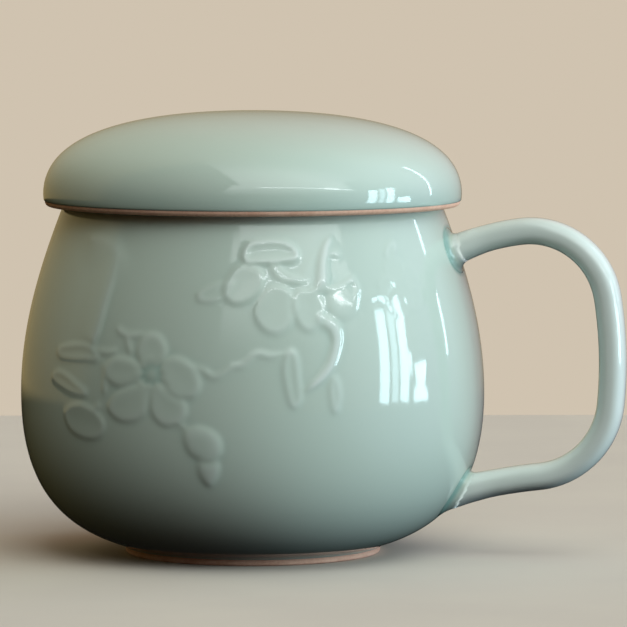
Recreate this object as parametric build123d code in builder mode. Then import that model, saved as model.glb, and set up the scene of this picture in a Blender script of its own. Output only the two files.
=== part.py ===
"""Lidded tea mug with infuser, in millimetres.

A round-bellied glazed stoneware mug with a luted ear handle, a loose porcelain infuser
that hangs by its flange on the rim, and a loose domed lid that sits on that flange.
Low sprigs of a flowering branch are luted on the belly. +Z is up, the handle is on +X
and the origin is the centre of the foot ring's base.
"""
from build123d import *
import os
from math import atan2, cos, degrees, radians, sin

os.makedirs("parts", exist_ok=True)

# ---------------------------------------------------------------- driving dimensions
# Mug body
foot_radius = 30.3
foot_height = 1.9
foot_ring_width = 4.2
foot_recess = 2.4
foot_round = 0.6
belly_radius = 55.0
belly_height = 38.0
rim_radius = 44.7
rim_height = 83.0
rim_round = 1.2
wall = 4.0

# Fullness of the belly's two curves: how far the tangent of each end reaches
base_reach = 15.3
base_slope = 0.26
lower_reach = 22.2
upper_reach = 15.1
neck_reach = 16.0
neck_slope = 0.39

# Handle: how far outside the belly its centre line turns, and how far under the rim or
# over the ground, then its oval section
root_high_drop = 11.8
root_slope = 28.0
handle_top_out = 9.5
handle_top_drop = 6.1
shoulder_out = 29.9
shoulder_drop = 21.4
side_out = 30.7
side_height = 36.5
heel_out = 13.8
heel_height = 19.2
root_low_height = 14.6
root_depth = 2.5
handle_thickness = 6.3
handle_width = 9.4
root_spread = 1.45
root_throat = 1.12
throat_length = 1.5
root_length = 9.0

# Infuser
flange_overhang = 0.3
flange_thickness = 2.6
flange_round = 0.9
basket_clearance = 0.8
basket_wall = 2.4
basket_depth = 60.0
basket_taper = 5.5
basket_corner = 5.0
hole_diameter = 2.0
hole_pitch = 5.0
hole_rings = 5
holes_per_ring = 6
side_hole_rows = 3
side_holes = 28
side_hole_start = 3.0
side_hole_rise = 6.0

# Lid
lip_width = 3.1
lip_bulge = 0.3
lid_belly_rise = 2.8
lid_height = 22.4
lid_shoulder_reach = 16.9
lid_crown_reach = 20.3
lid_thickness = 4.5
lip_drop = 3.3
lip_clearance = 1.2
lip_round = 1.1
seat_width = 3.0
collar_clearance = 1.2
collar_thickness = 2.8
collar_length = 5.6
collar_round = 0.9

# Sprigs: how far each kind stands proud of the belly, and its size at full growth
petal_height = 0.8
petal_width = 9.4
petal_ring = 7.0
petals = 5
heart_height = 1.1
heart_width = 4.6
heart_share = 1.3
bud_height = 1.0
bud_width = 7.4
cup_share = 0.65
leaf_height = 0.8
leaf_length = 20.0
leaf_width = 6.0
leaf_crown = 24.0
twig_height = 0.6
twig_width = 1.7


def share_where(wire, measure, value):
    """Share of a profile's length at which a measure that grows along it reaches a value."""
    low, high = 0.0, 1.0
    for _ in range(30):
        middle = (low + high) / 2
        if measure(wire @ middle) < value:
            low = middle
        else:
            high = middle
    return low


def height_of(point):
    """Height of a profile's point."""
    return point.Y


def finish(piece, name):
    """Label a finished piece and write its STEP file."""
    piece.part.label = name
    export_step(piece.part, f"parts/{name}.step")


# ---------------------------------------------------------------- mug profile
def belly_profile(inset):
    """The belly's curve from foot to rim, moved inwards by inset."""
    foot_end = foot_height + inset
    with BuildLine() as profile:
        Bezier(
            (foot_radius, foot_end),
            (foot_radius + base_reach - inset, foot_end + (base_reach - inset) * base_slope),
            (belly_radius - inset, belly_height - lower_reach + inset),
            (belly_radius - inset, belly_height),
        )
        Bezier(
            (belly_radius - inset, belly_height),
            (belly_radius - inset, belly_height + upper_reach),
            (rim_radius - inset + neck_reach * neck_slope, rim_height - neck_reach),
            (rim_radius - inset, rim_height),
        )
    return profile.wires()[0]


outside = belly_profile(0)
inside = belly_profile(wall)
mouth_radius = rim_radius - wall

# The belly as if it were solid clay, which trims all that is luted on it
with BuildPart() as belly_fill:
    with BuildSketch(Plane.XZ):
        with BuildLine():
            add(outside)
            Polyline((rim_radius, rim_height), (0, rim_height), (0, foot_height), (foot_radius, foot_height))
        make_face()
    revolve(axis=Axis.Z)

# ---------------------------------------------------------------- mug body
with BuildPart() as mug_body:
    add(belly_fill)
    with BuildSketch():
        Circle(foot_radius)
    extrude(amount=foot_height)
    with BuildSketch():
        Circle(foot_radius - foot_ring_width)
    extrude(amount=foot_recess, mode=Mode.SUBTRACT)
    foot_edges = mug_body.edges().group_by(Axis.Z)[0]
    fillet(foot_edges, foot_round)
    with BuildSketch(Plane.XZ):
        with BuildLine():
            add(inside)
            Polyline(inside @ 1, (0, rim_height), (0, foot_height + wall), inside @ 0)
        make_face()
    revolve(axis=Axis.Z, mode=Mode.SUBTRACT)
    fillet(mug_body.edges().group_by(Axis.Z)[-1], rim_round)
finish(mug_body, "mug_body")

# ---------------------------------------------------------------- handle
root_high = outside @ share_where(outside, height_of, rim_height - root_high_drop)
root_low = outside @ share_where(outside, height_of, root_low_height)
turns = [
    (belly_radius + handle_top_out, rim_height - handle_top_drop),
    (belly_radius + shoulder_out, rim_height - shoulder_drop),
    (belly_radius + side_out, side_height),
    (belly_radius + heel_out, heel_height),
    (root_low.X - root_depth, root_low.Y),
]
with BuildLine() as handle_line:
    here = Vector(root_high.X - root_depth, 0, root_high.Y)
    heading = Vector(cos(radians(root_slope)), 0, sin(radians(root_slope)))
    for radius, height in turns:
        bend = TangentArc(here, (radius, 0, height), tangent=heading)
        here = bend @ 1
        heading = bend % 1
handle_path = handle_line.wires()[0]


def handle_section(distance):
    """Plane across the handle at a distance along its centre line."""
    centre = handle_path.position_at(distance, position_mode=PositionMode.LENGTH)
    heading = handle_path.tangent_at(distance, position_mode=PositionMode.LENGTH)
    return Plane(centre, x_dir=(0, 1, 0), z_dir=heading)


with BuildPart() as handle:
    with BuildSketch(handle_section(0)):
        Ellipse(handle_width / 2, handle_thickness / 2)
    sweep(path=handle_path)
    reach = handle_path.length
    flare = (0, root_depth + throat_length, root_length)
    for stations in (flare, [reach - station for station in flare]):
        for distance, spread in zip(stations, (root_spread, root_throat, 1)):
            with BuildSketch(handle_section(distance)):
                Ellipse(handle_width * spread / 2, handle_thickness * spread / 2)
        loft()
    add(belly_fill, mode=Mode.SUBTRACT)
finish(handle, "handle")

# ---------------------------------------------------------------- infuser
flange_radius = rim_radius + flange_overhang
flange_top = rim_height + flange_thickness
basket_radius = mouth_radius - basket_clearance
basket_base = flange_top - basket_depth
base_radius = basket_radius - basket_taper
bore_radius = basket_radius - basket_wall


def circle_at(piece, radius, height):
    """The circular edge of a turned piece that comes nearest to a radius and a height."""
    rings = piece.edges().filter_by(GeomType.CIRCLE)
    return rings.sort_by(lambda ring: abs(ring.radius - radius) + abs(ring.arc_center.Z - height))[0]


# The infuser is an outer cup less its bore
with BuildPart() as basket_bore:
    with BuildSketch(Plane.XZ):
        with BuildLine():
            Polyline(
                (0, basket_base + basket_wall),
                (base_radius - basket_wall, basket_base + basket_wall),
                (bore_radius, flange_top),
                (0, flange_top),
                close=True,
            )
        make_face()
    revolve(axis=Axis.Z)
    fillet(circle_at(basket_bore, base_radius - basket_wall, basket_base + basket_wall), basket_corner - basket_wall)

with BuildPart() as infuser:
    with BuildSketch(Plane.XZ):
        with BuildLine():
            Polyline(
                (0, basket_base),
                (base_radius, basket_base),
                (basket_radius, rim_height),
                (flange_radius, rim_height),
                (flange_radius, flange_top),
                (0, flange_top),
                close=True,
            )
        make_face()
    revolve(axis=Axis.Z)
    fillet(circle_at(infuser, base_radius, basket_base), basket_corner)
    fillet(circle_at(infuser, flange_radius, rim_height), flange_round)
    fillet(circle_at(infuser, flange_radius, flange_top), flange_round)
    add(basket_bore, mode=Mode.SUBTRACT)
    with BuildSketch(Plane.XY.offset(basket_base)):
        Circle(hole_diameter / 2)
        for ring in range(1, hole_rings + 1):
            with PolarLocations(ring * hole_pitch, ring * holes_per_ring):
                Circle(hole_diameter / 2)
    extrude(amount=basket_wall, mode=Mode.SUBTRACT)
    for row in range(side_hole_rows):
        stagger = 180 / side_holes * (row % 2)
        row_height = basket_base + basket_corner + side_hole_start + side_hole_rise * row
        with Locations((0, 0, row_height)):
            with PolarLocations(base_radius, side_holes, start_angle=stagger):
                Cylinder(hole_diameter / 2, basket_taper + basket_wall, rotation=(0, 90, 0), mode=Mode.SUBTRACT)
finish(infuser, "infuser")

# ---------------------------------------------------------------- lid
seat_height = flange_top
lip_base = seat_height - lip_drop
lid_top = lip_base + lid_height
recess_radius = flange_radius + lip_clearance
lip_radius = recess_radius + lip_width
hollow_radius = recess_radius - seat_width
collar_radius = bore_radius - collar_clearance


def dome(radius, base, top, inset):
    """The lid's curve from its side, straight up at first, to its level crown."""
    with BuildLine() as curve:
        Bezier(
            (radius, base),
            (radius, base + lid_shoulder_reach - inset),
            (lid_crown_reach - inset, top),
            (0, top),
        )
    return curve.wires()[0]


crown = dome(lip_radius + lip_bulge, lip_base + lid_belly_rise, lid_top, 0)
underside = dome(hollow_radius, seat_height, lid_top - lid_thickness, lid_thickness)
collar_top = underside @ share_where(underside, lambda point: -point.X, -collar_radius)
collar_root = collar_top.Y + lid_thickness / 2

with BuildPart() as lid:
    with BuildSketch(Plane.XZ):
        with BuildLine():
            add(crown)
            Polyline(crown @ 1, (0, lip_base), (lip_radius, lip_base), crown @ 0)
        make_face()
    revolve(axis=Axis.Z)
    with BuildSketch(Plane.XZ):
        with BuildLine():
            add(underside)
            Polyline(
                underside @ 1,
                (0, lip_base),
                (recess_radius, lip_base),
                (recess_radius, seat_height),
                underside @ 0,
            )
        make_face()
    revolve(axis=Axis.Z, mode=Mode.SUBTRACT)
    fillet(circle_at(lid, lip_radius, lip_base), lip_round)
    fillet(circle_at(lid, recess_radius, lip_base), lip_round)
    with BuildSketch(Plane.XY.offset(seat_height - collar_length)):
        Circle(collar_radius)
        Circle(collar_radius - collar_thickness, mode=Mode.SUBTRACT)
    extrude(amount=collar_root - seat_height + collar_length)
    fillet(circle_at(lid, collar_radius, seat_height - collar_length), collar_round)
    fillet(circle_at(lid, collar_radius - collar_thickness, seat_height - collar_length), collar_round)
finish(lid, "lid")

# ---------------------------------------------------------------- sprigs on the belly
# The belly and what is over its rim, which a sprig's balls would otherwise reach
with BuildPart() as sprig_trim:
    add(belly_fill)
    with BuildSketch(Plane.XY.offset(rim_height)):
        Circle(rim_radius)
    extrude(amount=rim_radius)


def turned(flat, azimuth):
    """A profile's point or direction, turned to an azimuth counted from the handle."""
    return Vector(flat.X * cos(radians(azimuth)), flat.X * sin(radians(azimuth)), flat.Y)


def on_belly(azimuth, height):
    """Point of the belly's outside."""
    return turned(outside @ share_where(outside, height_of, height), azimuth)


def touching(azimuth, height, turn=0.0):
    """Plane that touches the belly, its normal outwards and its x turned up from level."""
    share = share_where(outside, height_of, height)
    level = turned(Vector(1, 0), azimuth + 90)
    outwards = level.cross(turned(outside % share, azimuth))
    along = level.rotate(Axis((0, 0, 0), outwards), turn)
    return Plane(turned(outside @ share, azimuth), x_dir=along, z_dir=outwards)


def cap(width, height):
    """Radius and centre depth of the ball that stands height proud over a width."""
    radius = (width**2 / 4 + height**2) / (2 * height)
    return radius, height - radius


def blossom(azimuth, level, growth, turn):
    """Open blossom with a raised heart, its petals centred on a ring that lies on the belly."""
    ring = petal_ring * growth
    radius, depth = cap(petal_width * growth, petal_height)
    face = touching(azimuth, level * rim_height, turn)
    with BuildPart() as piece:
        for petal in range(petals):
            angle = radians(360 / petals * petal)
            middle = face.from_local_coords((ring * cos(angle), ring * sin(angle), 0))
            with Locations(touching(degrees(atan2(middle.Y, middle.X)), middle.Z)):
                with Locations((0, 0, depth)):
                    Sphere(radius)
        for width, rise in ((ring * heart_share, petal_height), (heart_width, heart_height)):
            heart_radius, heart_depth = cap(width, rise)
            with Locations(face):
                with Locations((0, 0, heart_depth)):
                    Sphere(heart_radius)
        add(sprig_trim, mode=Mode.SUBTRACT)
    return piece


def bud(azimuth, level, growth, turn):
    """Round bud with a smaller cup at its stalk, on the side that turn points to."""
    width = bud_width * growth
    radius, depth = cap(width, bud_height)
    cup_radius, cup_depth = cap(width * cup_share, petal_height)
    with BuildPart() as piece:
        with Locations(touching(azimuth, level * rim_height, turn)):
            with Locations((0, 0, depth)):
                Sphere(radius)
            with Locations((width / 2, 0, cup_depth)):
                Sphere(cup_radius)
        add(sprig_trim, mode=Mode.SUBTRACT)
    return piece


def leaf(azimuth, level, growth, breadth, turn, bow=0.0):
    """Pointed leaf, bowed to one side by a share of its length and crowned by a large ball."""
    face = touching(azimuth, level * rim_height, turn)
    half = leaf_length * growth / 2
    side = leaf_width * breadth / 2
    middle = leaf_length * growth * bow
    with BuildPart() as piece:
        with BuildSketch(face):
            with BuildLine():
                ThreePointArc((-half, 0), (0, middle + side), (half, 0))
                ThreePointArc((-half, 0), (0, middle - side), (half, 0))
            make_face()
        extrude(amount=leaf_crown, both=True)
        with Locations(face):
            with Locations((0, 0, leaf_height - leaf_crown)):
                Sphere(leaf_crown, mode=Mode.INTERSECT)
        add(sprig_trim, mode=Mode.SUBTRACT)
    return piece


# A skin of even height over the belly, which gives the twigs their top
bark_line = belly_profile(-twig_height)
with BuildPart() as bark:
    with BuildSketch(Plane.XZ):
        with BuildLine():
            add(bark_line)
            Polyline(bark_line @ 1, (0, rim_height), (0, (bark_line @ 0).Y), bark_line @ 0)
        make_face()
    revolve(axis=Axis.Z)


def twig(*points):
    """Thin twig that bends at points on the belly."""
    bends = [on_belly(azimuth, level * rim_height) for azimuth, level in points]
    middle = (bends[0] + bends[-1]) / 2
    face = touching(degrees(atan2(middle.Y, middle.X)), middle.Z)
    flat = [face.to_local_coords(bend) for bend in bends]
    with BuildPart() as piece:
        with BuildSketch(face):
            with BuildLine():
                Polyline([(bend.X, bend.Y) for bend in flat])
            trace(line_width=twig_width)
        extrude(amount=belly_radius / 2, both=True)
        add(bark, mode=Mode.INTERSECT)
        add(sprig_trim, mode=Mode.SUBTRACT)
    return piece


# Each sprig's place is its azimuth from the handle and its level, a share of the rim's
# height. Growth and breadth are shares of the full-grown length and width, turn is in
# degrees and bow is a share of the length.
# Azimuth, level, growth, turn
blossoms = {
    "blossom_left": (-103.2, 0.530, 1.0, 20),
    "blossom_upper": (-68.2, 0.807, 0.98, -8),
    "blossom_right": (-35.4, 0.781, 0.7, 35),
}
# Azimuth, level, growth, turn towards the stalk
buds = {
    "bud_hanging": (-87.7, 0.377, 1.0, 95),
    "bud_tip": (-88.1, 0.288, 0.6, 85),
    "bud_middle": (-53.0, 0.740, 0.95, 150),
}
# Azimuth, level, growth, breadth, turn, bow
leaves = {
    "leaf_left_low": (-122.2, 0.424, 0.68, 1.0, -35),
    "leaf_left_middle": (-128.5, 0.520, 0.55, 0.7, -35),
    "leaf_left_top": (-126.5, 0.610, 0.58, 0.7, 0),
    "leaf_upper_left": (-84.6, 0.827, 0.48, 0.75, 62),
    "leaf_curved": (-61.5, 0.602, 1.0, 0.77, 78, -0.2),
    "leaf_slim": (-69.4, 0.525, 0.65, 0.67, 88),
    "leaf_low": (-58.5, 0.470, 0.45, 0.6, 88),
    "stalk_hanging": (-90.2, 0.441, 0.33, 0.33, -55),
    "leaf_right_top": (-38.5, 0.894, 0.45, 0.73, 40),
    "leaf_right_low": (-33.4, 0.542, 0.53, 0.87, 80),
}
# Azimuth and level of each bend
twigs = {
    "branch_left": [(-126.2, 0.920), (-118.3, 0.855), (-119.4, 0.778), (-119.4, 0.680), (-120.5, 0.636)],
    "branch_middle": [
        (-93.0, 0.561),
        (-89.4, 0.581),
        (-82.9, 0.589),
        (-76.7, 0.622),
        (-70.4, 0.624),
        (-67.2, 0.683),
    ],
    "branch_right": [(-52.0, 0.716), (-46.0, 0.747), (-28.0, 0.795), (-20.5, 0.849), (-10.3, 0.877)],
    "twig_left": [(-113.9, 0.680), (-109.7, 0.660), (-106.1, 0.672)],
}

# Each sprig ends where one that was laid before it covers the belly
covers = []
for shape, placings in ((blossom, blossoms), (bud, buds), (leaf, leaves), (twig, twigs)):
    for name, placing in placings.items():
        with BuildPart() as sprig:
            add(shape(*placing))
            if covers:
                add(covers, mode=Mode.SUBTRACT)
        covers.append(sprig.part)
        finish(sprig, name)
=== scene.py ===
from math import cos, pi, radians, sin

import bpy
import numpy as np
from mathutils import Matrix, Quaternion, Vector


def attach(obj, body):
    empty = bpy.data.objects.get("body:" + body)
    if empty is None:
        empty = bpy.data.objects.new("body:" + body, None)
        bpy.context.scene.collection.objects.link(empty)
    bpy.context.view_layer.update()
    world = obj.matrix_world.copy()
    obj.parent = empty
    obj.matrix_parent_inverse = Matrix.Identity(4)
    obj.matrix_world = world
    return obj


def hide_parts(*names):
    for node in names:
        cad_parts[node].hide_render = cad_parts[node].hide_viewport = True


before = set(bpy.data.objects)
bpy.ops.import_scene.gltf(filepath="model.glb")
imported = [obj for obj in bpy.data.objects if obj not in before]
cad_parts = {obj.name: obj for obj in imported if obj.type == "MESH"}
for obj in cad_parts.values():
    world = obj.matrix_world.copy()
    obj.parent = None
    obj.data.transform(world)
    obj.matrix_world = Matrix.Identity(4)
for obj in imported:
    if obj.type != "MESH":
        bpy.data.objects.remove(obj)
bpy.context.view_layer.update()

MM = 0.001
same_place = 1e-6


# ---------------------------------------------------------------- curves
def bezier(start, leave, arrive, end, count=400):
    """Points of a cubic curve."""
    t = np.linspace(0, 1, count)[:, None]
    start, leave, arrive, end = (np.array(p, float) for p in (start, leave, arrive, end))
    left = 1 - t
    return left**3 * start + 3 * left**2 * t * leave + 3 * left * t**2 * arrive + t**3 * end


def arc(centre, radius, first, last, count):
    """Points of an arc in a profile, its angles in degrees from outwards to up."""
    angles = np.radians(np.linspace(first, last, count))
    out, up = centre
    return np.stack([out + radius * np.cos(angles), up + radius * np.sin(angles)], axis=1)


def lengths_along(points):
    """How far each point of a line lies from its start, along the line."""
    return np.concatenate([[0], np.cumsum(np.linalg.norm(np.diff(points, axis=0), axis=1))])


def evenly_counted(points, count):
    """The same line with a set count of points, evenly spread."""
    reach = lengths_along(points)
    spots = np.linspace(0, reach[-1], count)
    return np.stack([np.interp(spots, reach, values) for values in points.T], axis=1)


def evenly(points, step):
    """The same line with its points a step apart, or a little less."""
    points = np.asarray(points, float)
    steps = int(np.ceil(lengths_along(points)[-1] / step))
    return evenly_counted(points, max(2, steps + 1))


def joined(*lines):
    """One profile from several, without the points that two of them share."""
    points = [np.asarray(lines[0], float)]
    for line in lines[1:]:
        line = np.asarray(line, float)
        if np.linalg.norm(line[0] - points[-1][-1]) < same_place:
            line = line[1:]
        points.append(line)
    return np.concatenate(points)


def part_of(line, low, high):
    """The stretch of a rising line between two heights, its ends put in."""
    inner = line[(line[:, 1] > low) & (line[:, 1] < high)]
    ends = [[np.interp(height, line[:, 1], line[:, 0]), height] for height in (low, high)]
    return np.concatenate([ends[:1], inner, ends[1:]])


def smooth_step(low, high, value):
    """0 at low, 1 at high and an easy change between them, whichever is the larger."""
    t = np.clip((value - low) / (high - low), 0, 1)
    return t * t * (3 - 2 * t)


# ---------------------------------------------------------------- meshes
def placed(name, data):
    """A new object of the scene, from a mesh, a light or a camera."""
    thing = bpy.data.objects.new(name, data)
    bpy.context.scene.collection.objects.link(thing)
    return thing


def make_piece(name, points, faces, materials, pool, face_material=None):
    """A smooth-shaded piece from points in millimetres and the glaze's depth at each."""
    mesh = bpy.data.meshes.new(name)
    mesh.from_pydata((np.asarray(points) * MM).tolist(), [], faces)
    mesh.update()
    mesh.polygons.foreach_set("use_smooth", [True] * len(mesh.polygons))
    for material in materials:
        mesh.materials.append(material)
    if face_material is not None:
        mesh.polygons.foreach_set("material_index", np.asarray(face_material, np.int32))
    layer = mesh.attributes.new("pool", "FLOAT", "POINT")
    layer.data.foreach_set("value", np.asarray(pool, np.float32))
    return placed(name, mesh)


def grid_faces(rows, columns):
    """Faces between rows of points that each close on themselves."""
    index = np.arange(rows * columns).reshape(rows, columns)
    following = np.roll(index, -1, axis=1)
    corners = [index[:-1], following[:-1], following[1:], index[1:]]
    return np.stack(corners, axis=-1).reshape(-1, 4).tolist()


def capped_faces(rows, columns):
    """Faces of a closed piece: its rows of points, with two more points that cap the ends."""
    first_cap = rows * columns
    last_row = first_cap - columns
    faces = grid_faces(rows, columns)
    for column in range(columns):
        following = (column + 1) % columns
        faces.append((first_cap, following, column))
        faces.append((first_cap + 1, last_row + column, last_row + following))
    return faces


def spun(profile, azimuths):
    """Grid of points of a profile of radius and height, row by row."""
    turn = np.radians(azimuths)
    radius = profile[:, :1]
    heights = np.repeat(profile[:, 1:], len(turn), axis=1)
    return np.stack([radius * np.cos(turn), radius * np.sin(turn), heights], axis=-1)


def turned_piece(name, grid, materials, row_material, pool):
    """A closed turned piece from its grid of points, capped on the axis at both ends."""
    rows, columns = grid.shape[:2]
    poles = [[0, 0, grid[0, 0, 2]], [0, 0, grid[-1, 0, 2]]]
    points = np.concatenate([grid.reshape(-1, 3), poles])
    pools = np.concatenate([pool.reshape(-1), [pool[0, 0], pool[-1, 0]]])
    by_row = np.repeat(np.asarray(row_material)[:-1], columns)
    caps = np.tile([row_material[0], row_material[-1]], columns)
    face_material = np.concatenate([by_row, caps])
    return make_piece(name, points, capped_faces(rows, columns), materials, pools, face_material)


# ---------------------------------------------------------------- materials
class Nodes:
    """Short forms for building a material's nodes."""

    def __init__(self, name):
        self.material = bpy.data.materials.new(name)
        self.material.use_nodes = True
        self.tree = self.material.node_tree
        self.shader = self.tree.nodes["Principled BSDF"]
        self.object_place = self.tree.nodes.new("ShaderNodeTexCoord").outputs["Object"]

    def link(self, source, target):
        self.tree.links.new(source, target)

    def noise(self, size, detail=2.0, roughness=0.5):
        """Soft noise whose lumps are about size millimetres, from 0 to 1."""
        node = self.tree.nodes.new("ShaderNodeTexNoise")
        node.inputs["Scale"].default_value = 1 / (size * MM)
        node.inputs["Detail"].default_value = detail
        node.inputs["Roughness"].default_value = roughness
        self.link(self.object_place, node.inputs["Vector"])
        return node.outputs["Fac"]

    def math(self, operation, first, second, clamp=False):
        """Result of an operation on two values, each a socket or a number."""
        node = self.tree.nodes.new("ShaderNodeMath")
        node.operation = operation
        node.use_clamp = clamp
        for socket, value in zip(node.inputs, (first, second)):
            if isinstance(value, (int, float)):
                socket.default_value = value
            else:
                self.link(value, socket)
        return node.outputs[0]

    def attribute(self, name):
        """A value that the mesh carries at its points."""
        node = self.tree.nodes.new("ShaderNodeAttribute")
        node.attribute_name = name
        return node.outputs["Fac"]

    def ramp(self, value, stops):
        """Colour from a value, through stops of place and colour."""
        node = self.tree.nodes.new("ShaderNodeValToRGB")
        node.color_ramp.interpolation = "EASE"
        marks = node.color_ramp.elements
        while len(marks) < len(stops):
            marks.new(0.5)
        for mark, (place, colour) in zip(marks, stops):
            mark.position = place
            mark.color = (*colour, 1)
        self.link(value, node.inputs["Fac"])
        return node.outputs["Color"]

    def range(self, value, low, high):
        """A value from 0 to 1 spread between low and high."""
        node = self.tree.nodes.new("ShaderNodeMapRange")
        node.inputs["To Min"].default_value = low
        node.inputs["To Max"].default_value = high
        self.link(value, node.inputs["Value"])
        return node.outputs["Result"]

    def bump(self, height, rise):
        """Bumps up to rise millimetres high."""
        node = self.tree.nodes.new("ShaderNodeBump")
        node.inputs["Distance"].default_value = rise * MM
        node.inputs["Strength"].default_value = 1.0
        self.link(height, node.inputs["Height"])
        self.link(node.outputs["Normal"], self.shader.inputs["Normal"])


glaze_ior = 1.52
pool_weight = 0.5
full_place = 0.4
clay_dark_place, clay_pale_place = 0.35, 0.65


def glaze(name, thin, full, pooled):
    """Celadon glaze: pale where it runs thin over an edge, deep where it pools; the handle's pale
    glaze is partly painted light.
    """
    nodes = Nodes(name)
    mottle = nodes.range(nodes.noise(size=14.0, detail=3.0), low=0.33, high=0.47)
    pool = nodes.math("MULTIPLY", nodes.attribute("pool"), pool_weight)
    depth = nodes.math("ADD", pool, mottle, clamp=True)
    colour = nodes.ramp(depth, [(0.0, thin), (full_place, full), (1.0, pooled)])
    nodes.link(colour, nodes.shader.inputs["Base Color"])
    roughness = nodes.range(nodes.noise(size=9.0), low=0.05, high=0.085)
    nodes.link(roughness, nodes.shader.inputs["Roughness"])
    nodes.shader.inputs["IOR"].default_value = glaze_ior
    nodes.bump(nodes.noise(size=3.5, detail=1.0), rise=0.004)
    return nodes.material


def bare_clay(name, pale, dark):
    """Unglazed fired clay with a fine grain."""
    nodes = Nodes(name)
    fine = nodes.noise(size=0.9, detail=4.0, roughness=0.7)
    grain = nodes.math("ADD", fine, nodes.noise(size=7.0, detail=2.0))
    mean = nodes.math("MULTIPLY", grain, 0.5)
    colour = nodes.ramp(mean, [(clay_dark_place, dark), (clay_pale_place, pale)])
    nodes.link(colour, nodes.shader.inputs["Base Color"])
    roughness = nodes.range(nodes.noise(size=1.5), low=0.6, high=0.8)
    nodes.link(roughness, nodes.shader.inputs["Roughness"])
    nodes.bump(nodes.noise(size=0.5, detail=3.0), rise=0.03)
    return nodes.material


celadon = glaze(
    "celadon_glaze",
    thin=(0.80, 0.85, 0.80),
    full=(0.56, 0.655, 0.568),
    pooled=(0.16, 0.38, 0.33),
)
porcelain = glaze(
    "infuser_glaze",
    thin=(0.66, 0.72, 0.67),
    full=(0.60, 0.69, 0.63),
    pooled=(0.42, 0.56, 0.51),
)
clay = bare_clay("bare_clay", pale=(0.95, 0.58, 0.42), dark=(0.82, 0.45, 0.31))

# ---------------------------------------------------------------- mug: sizes
foot_radius = 30.3
foot_height = 1.9
foot_ring_width = 4.2
foot_recess = 2.4
foot_round = 0.6
recess_round = 0.8
belly_radius = 55.0
belly_height = 38.0
rim_radius = 44.7
rim_height = 83.0
rim_round = 1.2
rim_ease = 0.7
wall = 4.0
floor_gap = 0.1
floor_corner = 1.0
cap_radius = 2.0
base_reach = 15.3
base_slope = 0.26
lower_reach = 22.2
upper_reach = 15.1
neck_reach = 16.0
neck_slope = 0.39
glaze_edge = 1.3
glaze_roll = 0.18


def wall_line(inset):
    """The belly's curve from foot to rim, moved inwards by inset."""
    foot_end = foot_height + inset
    lower = bezier(
        (foot_radius, foot_end),
        (foot_radius + base_reach - inset, foot_end + (base_reach - inset) * base_slope),
        (belly_radius - inset, belly_height - lower_reach + inset),
        (belly_radius - inset, belly_height),
    )
    upper = bezier(
        (belly_radius - inset, belly_height),
        (belly_radius - inset, belly_height + upper_reach),
        (rim_radius - inset + neck_reach * neck_slope, rim_height - neck_reach),
        (rim_radius - inset, rim_height),
    )
    return joined(lower, upper)


outside = wall_line(0)
inside = wall_line(wall)

# The relief has small faces, the handle's side up to root_to middling and the rest large ones
relief_low, relief_high = 14.0, 80.5
relief_from, relief_to = -141.0, -6.0
relief_step = 0.45
plain_step = 1.2
inner_step = 4.0
foot_points = 4
rim_points = 6
root_to = 12.5
root_turn = 0.9
plain_count = 90

recess_radius = foot_radius - foot_ring_width
foot_line = joined(
    evenly([(cap_radius, foot_recess), (recess_radius - recess_round, foot_recess)], inner_step),
    arc(
        (recess_radius - recess_round, foot_recess - recess_round),
        recess_round, 90, 0, foot_points,
    ),
    arc((recess_radius + foot_round, foot_round), foot_round, 180, 270, foot_points),
    arc((foot_radius - foot_round, foot_round), foot_round, 270, 360, foot_points),
    [(foot_radius, glaze_edge), (foot_radius + glaze_roll, glaze_edge + glaze_roll)],
)
belly_start = foot_height + 2 * glaze_roll
rim_start = rim_height - rim_round
neck_start = 0.9 * rim_height
rim_outer = part_of(outside, neck_start, rim_start)[-1]
rim_inner = part_of(inside, neck_start, rim_start)[-1]
rim_lean = neck_slope * rim_round
rim_line = joined(
    bezier(
        rim_outer,
        rim_outer + [-rim_lean, rim_round * rim_ease],
        (rim_outer[0] - rim_lean, rim_height),
        (rim_outer[0] - 2 * rim_round, rim_height),
        rim_points,
    ),
    bezier(
        (rim_inner[0] + rim_round, rim_height),
        (rim_inner[0] + rim_lean, rim_height),
        rim_inner + [0, rim_round * rim_ease],
        rim_inner,
        rim_points,
    ),
)
floor_height = foot_height + wall
inner_line = joined(
    evenly(part_of(inside, floor_height + floor_gap, rim_start)[::-1], inner_step),
    evenly([(foot_radius - floor_corner, floor_height), (cap_radius, floor_height)], inner_step),
)
relief_rows = evenly(part_of(outside, relief_low, relief_high), relief_step)
mug_profile = joined(
    foot_line,
    evenly(part_of(outside, belly_start, relief_low), plain_step),
    relief_rows,
    evenly(part_of(outside, relief_high, rim_start), plain_step),
    rim_line,
    inner_line,
)
relief_turn = np.degrees(relief_step / belly_radius)
relief_columns = np.arange(relief_from, relief_to, relief_turn)
root_columns = np.arange(relief_columns[-1] + root_turn, root_to, root_turn)
plain_columns = np.linspace(root_columns[-1], relief_from + 360, plain_count)[1:-1]
mug_columns = np.concatenate([relief_columns, root_columns, plain_columns])
mug_grid = spun(mug_profile, mug_columns)
first_row = int(np.argmin(np.linalg.norm(mug_profile - relief_rows[0], axis=1)))
relief_part = (slice(first_row, first_row + len(relief_rows)), slice(len(relief_columns)))
relief_grid = mug_grid[relief_part]


# ---------------------------------------------------------------- mug: relief
def belly_radius_at(height):
    """The outside's radius at a height."""
    return np.interp(height, outside[:, 1], outside[:, 0])


def slope_at(height, half=0.5):
    """Direction of the belly's outside at a height, upwards."""
    below, above = belly_radius_at([height - half, height + half])
    rise = np.array([above - below, 2 * half])
    return rise / np.linalg.norm(rise)


def on_belly(azimuth, height):
    """Point of the belly's outside."""
    radius = belly_radius_at(height)
    turn = radians(azimuth)
    return np.array([radius * cos(turn), radius * sin(turn), height])


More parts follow.
